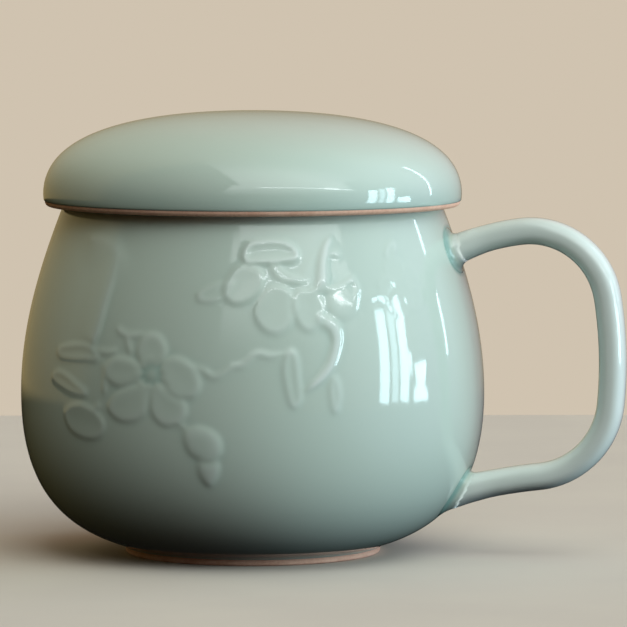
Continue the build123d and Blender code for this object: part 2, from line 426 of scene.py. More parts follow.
def seat(azimuth, height, turn=0.0):
    """Point on the belly, then a motif's own x and y there, its x turned up from level."""
    around, tilt = radians(azimuth), radians(turn)
    level = np.array([-sin(around), cos(around), 0])
    out, up = slope_at(height)
    rise = np.array([out * cos(around), out * sin(around), up])
    along = cos(tilt) * level + sin(tilt) * rise
    across = cos(tilt) * rise - sin(tilt) * level
    return on_belly(azimuth, height), along, across


curve_points = 8


def through(points, closed=False):
    """Smooth line through points, as a list of more points."""
    points = np.asarray(points, float)
    if closed:
        points = np.concatenate([points[-1:], points, points[:2]])
    else:
        before = 2 * points[:1] - points[1:2]
        points = np.concatenate([before, points, 2 * points[-1:] - points[-2:-1]])
    t = np.linspace(0, 1, curve_points, endpoint=False)[:, None]
    runs = []
    for before, here, after, beyond in zip(points, points[1:], points[2:], points[3:]):
        leave, arrive = (after - before) / 2, (beyond - here) / 2
        runs.append(
            (2 * t**3 - 3 * t**2 + 1) * here + (t**3 - 2 * t**2 + t) * leave
            + (3 * t**2 - 2 * t**3) * after + (t**3 - t**2) * arrive
        )
    if not closed:
        runs.append(points[-2:-1])
    return np.concatenate(runs)


# How far a form reaches past its outline, its rim and dish and the hollow round it
form_reach = 2.0
rim_place, rim_width = 0.6, 0.4
dish_start = 0.4
hollow_share, hollow_reach = 0.5, 1.2

# A ridge's step and how thin it ends, then stand-ins for no drop and for no ridge near by
ridge_step = 0.5
ridge_end = 0.35
least_drop = 1e-9
far_away = 1e3

# A blossom of size 1: its petals, and in its heart the dimple, the dark and the stamens
petal_place, petal_length, petal_width = 6.6, 5.2, 5.3
petal_notch, petal_rim = 0.9, 0.2
outline_turn = 30
dimple_edge, dimple_floor, dimple_depth = 3.4, 1.4, 0.7
dark_edge, dark_floor, dark_rise = 4.4, 1.6, 0.6
heart_reach, heart_gap = 8, 9
stamen_length, stamen_growth = 3.2, 1.3
thread_width, thread_share = 0.34, 0.75
bead_width, bead_share = 0.6, 1.15


class Relief:
    """Height of the clay over the belly at each point of the relief's grid."""

    def __init__(self, grid):
        self.grid = grid
        self.height = np.zeros(grid.shape[:2])
        self.dark = np.zeros(grid.shape[:2])

    def form(self, outline, rise, edge=0.9, dish=0.3, rim=0.42, under=0.25):
        """Lays a form with a smooth outline, rounded at its edge and dished in its middle.

        Dish and rim are shares of the rise; under is the share kept of what it covers.
        """
        origin, along, across = seat(*np.mean(outline, axis=0))
        line = np.array([on_belly(*point) for point in through(outline, closed=True)]) - origin
        line = np.stack([line @ along, line @ across], axis=1)
        gap = self.grid - origin
        near = np.linalg.norm(gap, axis=-1) < np.linalg.norm(line, axis=1).max() + form_reach
        spots = np.stack([gap[near] @ along, gap[near] @ across], axis=1)
        following = np.roll(line, -1, axis=0)
        run = following - line
        beside = spots[:, None] - line
        share = np.clip((beside * run).sum(-1) / (run**2).sum(-1), 0, 1)
        depth = np.linalg.norm(beside - share[..., None] * run, axis=-1).min(axis=1)
        crosses = (line[:, 1] > spots[:, 1:]) != (following[:, 1] > spots[:, 1:])
        drop = np.where(run[:, 1] == 0, least_drop, run[:, 1])
        crossing = line[:, 0] + (spots[:, 1:] - line[:, 1]) / drop * run[:, 0]
        within = (crosses & (spots[:, :1] < crossing)).sum(axis=1) % 2 == 1
        body = np.sqrt(1 - (1 - np.clip(depth / edge, 0, 1)) ** 2)
        body *= 1 - dish * smooth_step(dish_start * edge, (depth * within).max(), depth)
        body += rim * np.exp(-(((depth - rim_place) / rim_width) ** 2))
        kept = self.height[near]
        hollow = kept * (1 - hollow_share * smooth_step(hollow_reach, 0, depth))
        self.height[near] = np.where(within, under * kept + rise * body, hollow)

    def ridge(self, points, rise, left, right, fade=0.12):
        """Raises a ridge along a line, its slopes so wide on the left and right of the way."""
        way = evenly([on_belly(*point) for point in through(points)], ridge_step)
        headings = np.gradient(way, axis=0)
        closest = np.full(self.height.shape, far_away)
        for number, (spot, heading) in enumerate(zip(way, headings)):
            share = number / (len(way) - 1)
            ends = smooth_step(0, fade, share) * smooth_step(1, 1 - fade, share)
            gap = self.grid - spot
            outward = np.array([spot[0], spot[1], 0])
            on_left = gap @ np.cross(outward, heading) > 0
            width = np.where(on_left, left, right) * (ridge_end + (1 - ridge_end) * ends)
            closest = np.minimum(closest, np.linalg.norm(gap, axis=-1) / width)
        slope = np.clip(1 - closest, 0, 1)
        self.height = np.maximum(self.height, rise * slope**2 * (3 - 2 * slope))

    def heart(self, azimuth, height, turn, size, rise=0.6, stamens=9):
        """Heart of a blossom: a dimple, with stamens that end in beads."""
        origin, along, across = seat(azimuth, height, turn)
        gap = self.grid - origin
        x, y = gap @ along, gap @ across
        out = np.linalg.norm(gap, axis=-1) / size
        self.height = self.height * (1 - dimple_depth * smooth_step(dimple_edge, dimple_floor, out))
        dark = smooth_step(dark_edge, dark_floor, out) * min(1.0, rise / dark_rise)
        self.dark = np.maximum(self.dark, dark)
        away = np.where(out > heart_reach, heart_gap, 0)
        for stamen in range(stamens):
            angle = 2 * pi / stamens * stamen
            length = (stamen_length + stamen_growth * (stamen * 2 % 3) / 2) * size
            tip = np.array([cos(angle), sin(angle)]) * length
            share = np.clip((x * tip[0] + y * tip[1]) / length**2, 0, 1)
            beside = np.hypot(np.hypot(x - share * tip[0], y - share * tip[1]), away)
            to_bead = np.hypot(np.hypot(x - tip[0], y - tip[1]), away)
            thread = thread_share * rise * np.exp(-((beside / thread_width) ** 2))
            bead = rise * bead_share * np.exp(-((to_bead / bead_width) ** 2))
            self.height = np.maximum(self.height, np.maximum(thread, bead))

    def blossom(self, azimuth, height, turn, size, rise, petals=5):
        """Open blossom of broad petals that overlap round its heart."""
        for petal in range(petals):
            origin, along, across = seat(azimuth, height, turn + 360 / petals * petal)
            outline = []
            for angle in np.radians(np.arange(0, 360, outline_turn)):
                length = petal_length * petal_notch if angle == 0 else petal_length
                outwards = along * (petal_place + length * cos(angle))
                spot = origin + size * (outwards + across * petal_width * sin(angle))
                outline.append((np.degrees(np.arctan2(spot[1], spot[0])), spot[2]))
            self.form(outline, rise, rim=petal_rim)
        self.heart(azimuth, height, turn, size, rise)


# The sprigs, each point an azimuth and a height: forms by their outlines, ridges by their lines
relief = Relief(relief_grid)
branch_left = [(-129.0, 76.5), (-123.1, 76.1), (-118.7, 74.2), (-117.4, 71.3), (-117.6, 66.9),
               (-118.5, 62.4), (-119.2, 58.5), (-120.0, 54.6), (-121.4, 51.8)]
relief.ridge(branch_left, rise=0.60, left=1.0, right=9.0)
thin_ridges = [
    [(-117.0, 48.6), (-116.4, 45.0), (-116.3, 41.3)],
    [(-120.1, 37.2), (-117.8, 38.7)],
    [(-120.7, 51.4), (-117.0, 50.9), (-113.3, 51.3)],
    [(-113.9, 56.7), (-111.9, 55.4), (-109.4, 55.0), (-105.2, 55.4)],
    [(-110.5, 54.3), (-109.1, 51.0)],
    [(-94.1, 49.0), (-89.9, 47.5), (-86.9, 46.2), (-82.9, 48.5), (-80.3, 48.9), (-77.2, 51.4),
     (-73.8, 50.9), (-70.2, 51.4)],
    [(-96.0, 35.5), (-93.5, 33.7)],
]
for line in thin_ridges:
    relief.ridge(line, rise=0.42, left=1.0, right=1.0)
twig_right = [(-50.2, 63.1), (-46.5, 63.9), (-42.9, 64.8)]
relief.ridge(twig_right, rise=0.10, left=1.8, right=1.8)
leaves = [
    [(-135.0, 50.1), (-133.6, 51.5), (-127.9, 52.6), (-122.7, 52.6), (-120.0, 51.4),
     (-118.4, 49.4), (-119.6, 48.5), (-123.3, 48.5), (-128.5, 48.2), (-133.3, 48.6)],
    [(-136.4, 44.4), (-134.1, 46.0), (-130.1, 45.5), (-125.8, 43.7), (-121.8, 41.7),
     (-122.8, 40.2), (-127.2, 40.6), (-132.1, 41.9), (-135.4, 43.1)],
    [(-130.5, 35.8), (-128.3, 38.3), (-123.9, 39.0), (-119.4, 37.7), (-116.3, 35.1),
     (-116.7, 32.3), (-119.4, 30.7), (-123.8, 30.7), (-128.2, 32.2)],
    [(-70.1, 51.6), (-68.4, 52.5), (-67.0, 50.6), (-66.6, 45.9), (-66.2, 41.4), (-67.4, 39.1),
     (-69.1, 39.4), (-70.3, 43.2), (-71.0, 47.8)],
    [(-59.5, 44.8), (-58.0, 46.4), (-56.7, 44.5), (-56.5, 40.7), (-57.3, 37.7), (-58.8, 38.0),
     (-59.5, 41.2)],
    [(-92.7, 64.9), (-90.1, 66.5), (-86.5, 67.7), (-82.8, 67.7), (-83.0, 65.5), (-85.3, 63.7),
     (-88.9, 62.7), (-91.8, 63.1)],
    [(-39.6, 72.4), (-38.1, 74.9), (-35.3, 76.1), (-33.9, 75.0), (-35.1, 73.0), (-37.4, 71.7)],
]
leaf_right_low = [(-35.8, 50.7), (-33.0, 52.4), (-30.0, 51.3), (-29.1, 48.0), (-30.6, 44.0),
                  (-32.8, 41.6), (-35.1, 43.6), (-36.0, 47.1)]
for outline in leaves:
    relief.form(outline, rise=0.32, edge=0.9, dish=0.5)
relief.form(leaf_right_low, rise=0.06, edge=1.6, rim=0.0)
leaf_curved = [(-61.8, 60.2), (-58.5, 59.7), (-56.2, 58.1), (-55.5, 54.9), (-56.4, 51.3),
               (-58.1, 47.8), (-60.5, 45.3), (-63.7, 43.4), (-65.9, 42.7), (-64.0, 44.7),
               (-62.0, 46.7), (-60.2, 49.0), (-58.9, 51.8), (-58.4, 54.5), (-59.2, 56.6),
               (-61.4, 57.7)]
relief.form(leaf_curved, rise=0.60, edge=1.1, dish=0.10, rim=0.2)
petals_left = [
    [(-107.5, 51.3), (-106.7, 54.2), (-104.2, 56.1), (-101.1, 55.3), (-99.2, 52.5), (-99.8, 49.3),
     (-103.3, 47.8), (-106.4, 48.8)],
    [(-105.6, 45.9), (-108.7, 43.7), (-112.7, 43.3), (-116.0, 45.0), (-116.3, 48.2),
     (-113.5, 50.1), (-109.0, 49.9), (-106.1, 48.2)],
    [(-104.0, 44.1), (-103.4, 41.0), (-104.5, 37.3), (-107.8, 35.3), (-112.4, 35.5),
     (-115.3, 38.1), (-113.5, 41.4), (-108.9, 43.5)],
    [(-101.6, 44.7), (-98.0, 43.2), (-94.7, 41.2), (-93.7, 38.1), (-95.7, 35.3), (-99.8, 34.7),
     (-102.9, 37.3), (-103.4, 41.4)],
    [(-100.7, 47.9), (-98.8, 50.4), (-95.5, 50.5), (-91.9, 48.1), (-90.3, 44.5), (-91.8, 41.5),
     (-95.5, 41.2), (-99.0, 43.4)],
]
for outline in petals_left:
    relief.form(outline, rise=0.44, edge=1.9, dish=0.25, rim=0.3, under=0.5)
relief.heart(azimuth=-103.0, height=46.5, turn=20, size=0.95)
petals_upper = [
    [(-75.0, 65.7), (-71.9, 67.0), (-68.3, 65.7), (-66.7, 62.1), (-68.4, 57.8), (-72.0, 55.6),
     (-75.9, 57.0), (-77.9, 61.0)],
    [(-80.5, 71.8), (-83.4, 70.4), (-85.7, 67.0), (-85.3, 63.9), (-82.2, 62.3), (-78.1, 63.5),
     (-75.3, 66.4), (-75.5, 70.2)],
    [(-65.6, 66.1), (-61.4, 65.3), (-59.5, 62.4), (-60.4, 58.6), (-63.5, 56.2), (-66.4, 57.4),
     (-67.8, 60.7), (-67.6, 64.3)],
    [(-65.1, 70.1), (-61.6, 74.3), (-56.7, 77.4), (-53.7, 75.5), (-53.9, 71.7), (-57.0, 68.2),
     (-60.9, 65.6), (-64.5, 66.5)],
]
rises_upper = (0.34, 0.34, 0.30, 0.10)
for outline, rise in zip(petals_upper, rises_upper):
    relief.form(outline, rise, edge=1.4, dish=0.35, under=0.4)
petal_slim = [(-61.6, 66.0), (-61.1, 68.7), (-60.5, 71.8), (-59.2, 74.7), (-57.4, 76.7),
              (-55.4, 77.6), (-55.5, 76.0), (-56.5, 73.8), (-57.2, 71.1), (-57.5, 68.4),
              (-58.0, 66.4), (-60.0, 65.8)]
relief.form(petal_slim, rise=0.72, edge=1.9, dish=0.0, rim=0.0)
petal_spike = [(-58.0, 73.1), (-55.9, 73.8), (-53.6, 73.3)]
relief.ridge(petal_spike, rise=0.62, left=1.2, right=1.2)
petal_curled = [(-81.1, 73.1), (-79.8, 76.0), (-75.4, 77.1), (-69.2, 76.9), (-65.5, 74.8),
                (-65.7, 72.4), (-69.6, 71.7), (-75.5, 71.5), (-79.5, 71.5)]
relief.form(petal_curled, rise=0.40, edge=0.8, dish=0.75, rim=0.75)
curl_lines = [
    [(-73.1, 71.7), (-72.1, 69.7), (-69.8, 67.9), (-64.5, 67.2)],
    [(-71.7, 71.7), (-70.5, 69.9), (-68.1, 68.6), (-64.7, 68.3)],
]
for line in curl_lines:
    relief.ridge(line, rise=0.62, left=0.6, right=0.6)
relief.blossom(azimuth=-35.4, height=65.5, turn=35, size=0.66, rise=0.13)
buds = [
    [(-91.0, 27.3), (-87.8, 27.9), (-86.1, 26.0), (-86.5, 23.2), (-88.6, 20.8), (-90.6, 22.2),
     (-91.6, 24.8)],
    [(-94.8, 33.2), (-92.3, 34.9), (-88.6, 34.5), (-86.0, 32.5), (-85.3, 29.8), (-86.5, 27.4),
     (-89.7, 26.7), (-92.9, 28.0), (-94.5, 30.3)],
    [(-58.9, 63.7), (-57.8, 65.9), (-54.9, 66.8), (-51.5, 66.2), (-49.8, 63.7), (-50.6, 60.8),
     (-53.4, 58.9), (-56.7, 59.0), (-58.6, 61.0)],
]
rises_buds = (0.62, 0.62, 0.34)
for outline, rise in zip(buds, rises_buds):
    relief.form(outline, rise, edge=2.6, dish=0.0, rim=0.1)
stems_right = [
    [(-63.6, 65.4), (-58.9, 65.7), (-55.0, 66.3), (-51.6, 67.6), (-50.2, 68.9)],
    [(-50.7, 67.8), (-49.8, 65.5), (-50.8, 63.5)],
]
for line in stems_right:
    relief.ridge(line, rise=0.62, left=0.9, right=0.9)


def blurred(values, width):
    """A grid of values, smoothed over a width in millimetres."""
    spread = width / relief_step
    reach = int(np.ceil(3 * spread))
    weights = np.exp(-0.5 * (np.arange(-reach, reach + 1) / spread) ** 2)
    weights /= weights.sum()

    def smoothed(line):
        return np.convolve(np.pad(line, reach, "edge"), weights, "valid")

    for axis in (0, 1):
        values = np.apply_along_axis(smoothed, axis, values)
    return values


relief_share = 0.62
relief_limit = 1.2
glaze_flow = 0.50
pool_spread = 1.6
pool_depth = 0.45
pool_least, pool_most = -0.8, 0.9
heart_pool = 0.35
clay_height = np.clip(relief.height, 0, relief_limit) * relief_share
glazed_height = blurred(clay_height, glaze_flow)
relief_pool = (blurred(clay_height, pool_spread) - clay_height) / pool_depth
relief_pool = np.clip(relief_pool, pool_least, pool_most)
relief_pool = blurred(relief_pool + heart_pool * relief.dark, glaze_flow)


def raise_relief(grid, heights):
    """Moves each point of the relief out along the belly's own normal."""
    up = np.gradient(relief_rows, axis=0)
    normal = np.stack([up[:, 1], -up[:, 0]], axis=1)
    normal /= np.linalg.norm(normal, axis=1)[:, None]
    turn = np.radians(relief_columns)
    grid[..., 0] += heights * normal[:, :1] * np.cos(turn)
    grid[..., 1] += heights * normal[:, :1] * np.sin(turn)
    grid[..., 2] += heights * normal[:, 1:]


def settle(grid, depth, swells):
    """Draws a turned piece in by a slow unevenness, as on thrown clay.

    Each swell has its count round the piece, its pace up it in millimetres and its phase.
    """
    turn = np.arctan2(grid[..., 1], grid[..., 0])
    wave = sum(np.sin(count * turn + phase + grid[..., 2] / pace) for count, pace, phase in swells)
    wave = (wave / len(swells) + 1) / 2
    radius = np.hypot(grid[..., 0], grid[..., 1])
    share = 1 - depth * wave / np.maximum(radius, 1.0)
    grid[..., 0] *= share
    grid[..., 1] *= share


foot_pool, foot_pool_top, foot_pool_full = 0.35, 9, 2
rim_thinning, rim_thin_reach = 0.45, 2.5
mug_unevenness = 0.10
mug_swells = [(2, 31.0, 0.4), (3, -23.0, 2.1), (5, 17.0, 4.0)]
heights = mug_profile[:, 1:]
on_outside = np.arange(len(mug_profile))[:, None] < len(mug_profile) - len(inner_line)
at_foot = foot_pool * smooth_step(foot_pool_top, foot_pool_full, heights)
at_rim = rim_thinning * smooth_step(rim_height - rim_thin_reach, rim_height, heights)
mug_pool = np.zeros(mug_grid.shape[:2]) + on_outside * (at_foot - at_rim)
mug_pool[relief_part] += relief_pool
raise_relief(relief_grid, glazed_height)
settle(mug_grid, mug_unevenness, mug_swells)
below_glaze = mug_profile[:, 1] < glaze_edge + glaze_roll
mug_clay = below_glaze & (mug_profile[:, 0] > recess_radius - recess_round)

# ---------------------------------------------------------------- handle
# The centre line starts and ends inside the wall; its ends are shaped as roots
root_high_height = 71.2
root_slope = 28.0
root_depth = 2.5
root_length = 16
root_high_fillet = 2.0
root_low_fillet = 1.5
handle_turns = [(64.5, 76.9), (84.9, 61.6), (85.7, 36.5), (68.8, 19.2)]
root_low_height = 14.6
handle_thickness = 6.3
handle_width = 9.4
handle_step = 0.7
section_points = 56
section_squareness = 0.8
swell_share, swell_start, swell_end = 0.10, 12, 3
flare_share, flare_start = 0.08, 5.5
skirt_overlap = 0.03
skirt_depth = 0.4


def tangent_arcs(start, heading, stops, step=0.6):
    """Line of arcs that each leave in the last one's direction and end at a stop."""
    here, line = np.array(start, float), [np.array(start, float)]
    for stop in stops:
        chord = np.array(stop, float) - here
        swing = np.arctan2(chord[1], chord[0]) - heading
        swing = (swing + pi) % (2 * pi) - pi
        radius = np.linalg.norm(chord) / (2 * sin(swing))
        count = max(3, int(abs(2 * swing * radius) / step))
        for share in np.linspace(0, 1, count)[1:]:
            reach = 2 * radius * sin(swing * share)
            towards = heading + swing * share
            line.append(here + reach * np.array([cos(towards), sin(towards)]))
        here, heading = np.array(stop, float), heading + 2 * swing
    return np.array(line)


def belly_gap(points):
    """How far points lie outside the belly, about along its normal."""
    radius = np.hypot(points[..., 0], points[..., 1])
    slopes = np.gradient(outside[:, 0], outside[:, 1])
    lean = np.interp(points[..., 2], outside[:, 1], slopes)
    return (radius - belly_radius_at(points[..., 2])) / np.sqrt(1 + lean**2)


centre_line = tangent_arcs(
    (belly_radius_at(root_high_height) - root_depth, root_high_height),
    radians(root_slope),
    [*handle_turns, (belly_radius_at(root_low_height) - root_depth, root_low_height)],
)
centre_line = evenly(centre_line, handle_step)
section_angles = np.linspace(0, 2 * pi, section_points, endpoint=False)
section = np.stack([np.cos(section_angles), np.sin(section_angles)])
section = np.sign(section) * np.abs(section) ** section_squareness
along = np.gradient(centre_line, axis=0)
along /= np.linalg.norm(along, axis=1)[:, None]
reach = lengths_along(centre_line)
to_root = np.minimum(reach, reach[-1] - reach)
swell = 1 + swell_share * smooth_step(swell_start, swell_end, to_root)
swell = swell + flare_share * smooth_step(flare_start, 0, to_root)
half_width = handle_width / 2 * swell
half_thickness = handle_thickness / 2 * swell
handle_rings = np.stack(
    [
        centre_line[:, :1] - along[:, 1:] * half_thickness[:, None] * section[1],
        half_width[:, None] * section[0],
        centre_line[:, 1:] + along[:, :1] * half_thickness[:, None] * section[1],
    ],
    axis=-1,
)


def root_skirt(side_line, centre, fillet, count=8):
    """One line of the handle's root: its side, then the fillet round onto the belly."""
    gap = belly_gap(side_line)
    touch = int(np.argmax(gap < 0))
    share = gap[touch - 1] / (gap[touch - 1] - gap[touch])
    corner = side_line[touch - 1] + share * (side_line[touch] - side_line[touch - 1])
    leave = int(np.argmax(gap < fillet))
    start = side_line[leave - 1]
    azimuth = np.degrees(np.arctan2(corner[1], corner[0]))
    level, rise = seat(azimuth, corner[2])[1:]
    away = corner - centre
    away = level * (away @ level) + rise * (away @ rise)
    spread = corner + fillet * away / np.linalg.norm(away)
    spread[:2] *= 1 - (belly_gap(spread) + skirt_overlap) / np.hypot(*spread[:2])
    t = np.linspace(0, 1, count)[:, None]
    curve = (1 - t) ** 2 * start + 2 * (1 - t) * t * corner + t**2 * spread
    sunk = spread - skirt_depth * np.cross(level, rise)
    return side_line[:leave], np.concatenate([curve, [sunk]])


def root_end(rings, centre, fillet, rows=26):
    """Rows of points from the middle of the handle to its skirt on the belly."""
    centre = np.array([centre[0], 0, centre[1]])
    lines = []
    for column in range(section_points):
        side, curve = root_skirt(rings[:, column], centre, fillet)
        lines.append(np.concatenate([evenly_counted(side, rows), curve]))
    return np.stack(lines, axis=1)


high_end = int(np.argmax(reach > root_length))
low_end = int(np.argmax(reach > reach[-1] - root_length))
high_root = root_end(handle_rings[high_end::-1], centre_line[0], root_high_fillet)
low_root = root_end(handle_rings[low_end:], centre_line[-1], root_low_fillet)
handle_rows = np.concatenate([high_root[:0:-1], handle_rings[high_end:low_end], low_root])
handle_caps = [handle_rows[0].mean(0), handle_rows[-1].mean(0)]
handle_points = np.concatenate([handle_rows.reshape(-1, 3), handle_caps])
handle_faces = capped_faces(len(handle_rows), section_points)

# The glaze pools round the roots, on the belly as on the handle
root_pool_reach = 1.7
root_pool_edge = 0.1
# The second value thins the handle's glaze all over: partly thin glaze on a narrow handle, partly
# painted light that makes the handle paler
handle_root_pool, handle_thin_glaze_and_painted_light = 1.35, 0.60
belly_root_pool, belly_root_turn = 0.75, 13
handle_pool = handle_root_pool * smooth_step(
    root_pool_reach, root_pool_edge, belly_gap(handle_points)
)
# Less the handle's base, its whole glaze is paler: partly thin glaze, partly painted light
handle = make_piece(
    "handle_glazed", handle_points, handle_faces, [celadon], handle_pool - handle_thin_glaze_and_painted_light
)
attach(handle, "mug")
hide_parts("handle")

root_rings = np.concatenate([high_root[-2], low_root[-2]])
turns = np.abs(np.arctan2(mug_grid[..., 1], mug_grid[..., 0]))
near_roots = (turns < radians(belly_root_turn)) & on_outside
to_rings = np.linalg.norm(mug_grid[near_roots][:, None] - root_rings, axis=-1).min(axis=1)
mug_pool[near_roots] += belly_root_pool * smooth_step(root_pool_reach, root_pool_edge, to_rings)
mug = turned_piece("mug_glazed", mug_grid, [celadon, clay], mug_clay.astype(int), mug_pool)
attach(mug, "mug")
sprig_kinds = ("blossom", "bud", "leaf", "stalk", "branch", "twig")
sprigs = [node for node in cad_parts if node.startswith(sprig_kinds)]
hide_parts("mug_body", *sprigs)

# ---------------------------------------------------------------- lid
lip_base = 82.3
lid_top = 104.7
lip_radius = 49.3
lip_bulge = 0.3
lid_belly_rise = 2.8
lid_shoulder_reach = 16.9
lid_crown_reach = 20.3
lid_thickness = 4.5
lip_round = 1.1
seat_height = 85.6
lip_recess_radius = 46.2
hollow_radius = 43.2
collar_radius = 36.3
collar_thickness = 2.8
collar_length = 5.6
collar_round = 0.9
clay_band = 1.25
clay_inset = 0.10
# The glaze's last points, out from the lip's radius and up from the clay
glaze_lip = [(0.20, 0.35), (0.08, 0.08)]
lid_step, lip_step, under_step = 1.0, 0.8, 2.5
lid_turn = 1.5
outer_points, round_points = 7, 5
lid_unevenness = 0.08
lid_swells = [(2, 19.0, 1.0), (3, -13.0, 0.3), (4, 9.0, 3.0)]


def dome(radius, base, top, inset):
    """The lid's curve from its side, straight up at first, to its level crown."""
    return bezier(
        (radius, base),
        (radius, base + lid_shoulder_reach - inset),
        (lid_crown_reach - inset, top),
        (0, top),
    )


crown = dome(lip_radius + lip_bulge, lip_base + lid_belly_rise, lid_top, 0)
under = dome(hollow_radius, seat_height, lid_top - lid_thickness, lid_thickness)
collar_base = seat_height - collar_length
collar_inner = collar_radius - collar_thickness
collar_outer_top = np.interp(-collar_radius, -under[:, 0], under[:, 1])
collar_inner_top = np.interp(-collar_inner, -under[:, 0], under[:, 1])
outer_under = under[under[:, 0] > collar_radius]
inner_under = under[(under[:, 0] < collar_inner) & (under[:, 0] > cap_radius)]
glaze_line = lip_base + clay_band
glaze_end = [(lip_radius + out, glaze_line + up) for out, up in glaze_lip]
clay_radius = lip_radius - clay_inset
lid_profile = joined(
    evenly(crown[crown[:, 0] > cap_radius][::-1], lid_step),
    evenly([(lip_radius + lip_bulge, lip_base + lid_belly_rise), glaze_end[0]], lip_step)[1:],
    [glaze_end[1], (clay_radius, glaze_line)],
    arc((clay_radius - lip_round, lip_base + lip_round), lip_round, 0, -90, outer_points),
    arc((lip_recess_radius + lip_round, lip_base + lip_round), lip_round, 270, 180, round_points),
    [(lip_recess_radius, seat_height)],
    evenly(outer_under, under_step),
    [(collar_radius, collar_outer_top)],
    arc(
        (collar_radius - collar_round, collar_base + collar_round),
        collar_round, 0, -90, round_points,
    ),
    arc(
        (collar_inner + collar_round, collar_base + collar_round),
        collar_round, 270, 180, round_points,
    ),
    [(collar_inner, collar_inner_top)],
    evenly(inner_under, under_step),
)
lid_grid = spun(lid_profile, np.arange(0, 360, lid_turn))
settle(lid_grid, lid_unevenness, lid_swells)


def profile_row(place):
    """Number of the lid's row at a radius and height."""
    return int(np.argmin(np.linalg.norm(lid_profile - place, axis=1)))


lip_pool, lip_pool_top, lip_pool_full = 0.30, 9, 2.5
crown_thinning, crown_reach = 0.10, 8
lid_rows = np.arange(len(lid_profile))
lip_first = profile_row([clay_radius, glaze_line])
lip_last = profile_row([lip_recess_radius, seat_height]) + 1
lid_clay = (lid_rows >= lip_first) & (lid_rows <= lip_last)
heights = lid_profile[:, 1:]
at_lip = lip_pool * smooth_step(lip_base + lip_pool_top, lip_base + lip_pool_full, heights)
at_crown = crown_thinning * smooth_step(lid_top - crown_reach, lid_top, heights)
lid_pool = at_lip * (lid_rows < lip_first)[:, None] - at_crown + np.zeros(lid_grid.shape[:2])
lid = turned_piece("lid_glazed", lid_grid, [celadon, clay], lid_clay.astype(int), lid_pool)
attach(lid, "lid")
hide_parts("lid")

# ---------------------------------------------------------------- infuser
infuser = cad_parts["infuser"]
infuser.data.materials.clear()
infuser.data.materials.append(porcelain)

# ---------------------------------------------------------------- set: camera and table
camera_azimuth = 12.0
camera_distance = 1240.0
camera_height = 150.0
aim_right = 14.4
aim_height = 56.6
lens = 301.0
sensor_width = 36.0
clip_start, clip_end = 0.1, 20.0
table_reach = 0.341

side_on = np.array([cos(radians(camera_azimuth)), sin(radians(camera_azimuth)), 0.0])
towards_camera = np.array([sin(radians(camera_azimuth)), -cos(radians(camera_azimuth)), 0.0])
up = np.array([0, 0, 1])
camera_data = bpy.data.cameras.new("camera")
camera_data.lens = lens
camera_data.sensor_width = sensor_width
camera_data.clip_start = clip_start
camera_data.clip_end = clip_end
camera = placed("camera", camera_data)
bpy.context.scene.camera = camera
camera.location = Vector(towards_camera * camera_distance + up * camera_height) * MM
aim = Vector(side_on * aim_right + up * aim_height) * MM
camera.rotation_mode = "QUATERNION"
camera.rotation_quaternion = (aim - camera.location).to_track_quat("-Z", "Y")

pale_table = Nodes("pale_table")
pale_table.shader.inputs["Roughness"].default_value = 0.9
pale_table.shader.inputs["Specular IOR Level"].default_value = 0.15
table_stops = [(0.3, (0.66, 0.59, 0.52)), (0.7, (0.69, 0.62, 0.54))]
table_colour = pale_table.ramp(pale_table.noise(size=60.0, detail=3.0), table_stops)
pale_table.link(table_colour, pale_table.shader.inputs["Base Color"])
corners = [
    tuple(side_on * x * table_reach + towards_camera * y * table_reach)
    for x, y in ((-1, -1), (1, -1), (1, 1), (-1, 1))
]
table_mesh = bpy.data.meshes.new("table")
table_mesh.from_pydata(corners, [], [(3, 2, 1, 0)])
table_mesh.materials.append(pale_table.material)
table = placed("table", table_mesh)
table.visible_diffuse = False
table.visible_glossy = False

# ---------------------------------------------------------------- set: lights
light_colour = (0.63, 0.91, 1.0)
light_distance = 1.3
light_target = Vector((0, 0, 0.05))


def in_room(azimuth, elevation):
    """Direction in the room, its azimuth counted to the right of the camera."""
    turn, tilt = radians(azimuth), radians(elevation)
    return (towards_camera * cos(turn) + side_on * sin(turn)) * cos(tilt) + up * sin(tilt)


def softbox(name, azimuth, elevation, width, height, radiance, lean):
    """Rectangular light that faces the mug, turned by its lean in its own plane."""
    light = bpy.data.lights.new(name, "AREA")
    light.shape = "RECTANGLE"
    light.size = width
    light.size_y = height
    light.energy = radiance * pi * width * height
    light.color = light_colour
    lamp = placed(name, light)
    lamp.location = light_target + Vector(in_room(azimuth, elevation)) * light_distance
    lamp.rotation_mode = "QUATERNION"
    facing_mug = (light_target - lamp.location).to_track_quat("-Z", "Y")
    lamp.rotation_quaternion = facing_mug @ Quaternion((0, 0, 1), radians(lean))
    lamp.visible_camera = False


# The side window's panes: azimuth and elevation, width and height, radiance and lean
for pane in (
    ("window_pane_1", 67.7, 7.1, 0.125, 0.52, 12.3, -8),
    ("window_pane_2", 74.0, 7.5, 0.085, 0.535, 6.8, -8),
    ("window_pane_3", 80.0, 7.7, 0.12, 0.55, 12.3, -8),
    ("window_pane_4", 89.4, 0, 0.22, 0.20, 12.3, 0),
    ("window_edge", 115.5, 21, 0.03, 0.85, 13.0, -9),
):
    softbox(*pane)

# ---------------------------------------------------------------- set: room
# Rays that light the mug meet a dim room: a brown wall behind it on the left, a high window
# with a bright sill before it, and faint patches of light to the right and at the back. The
# camera itself sees one even backdrop.
world = bpy.data.worlds.new("studio")
bpy.context.scene.world = world
world.use_nodes = True
world_tree = world.node_tree


def worked_out(kind, operation, first, second):
    """Result of a node's operation on the results of two others."""
    node = world_tree.nodes.new(kind)
    node.operation = operation
    world_tree.links.new(first, node.inputs[0])
    world_tree.links.new(second, node.inputs[1])
    return node.outputs[0]


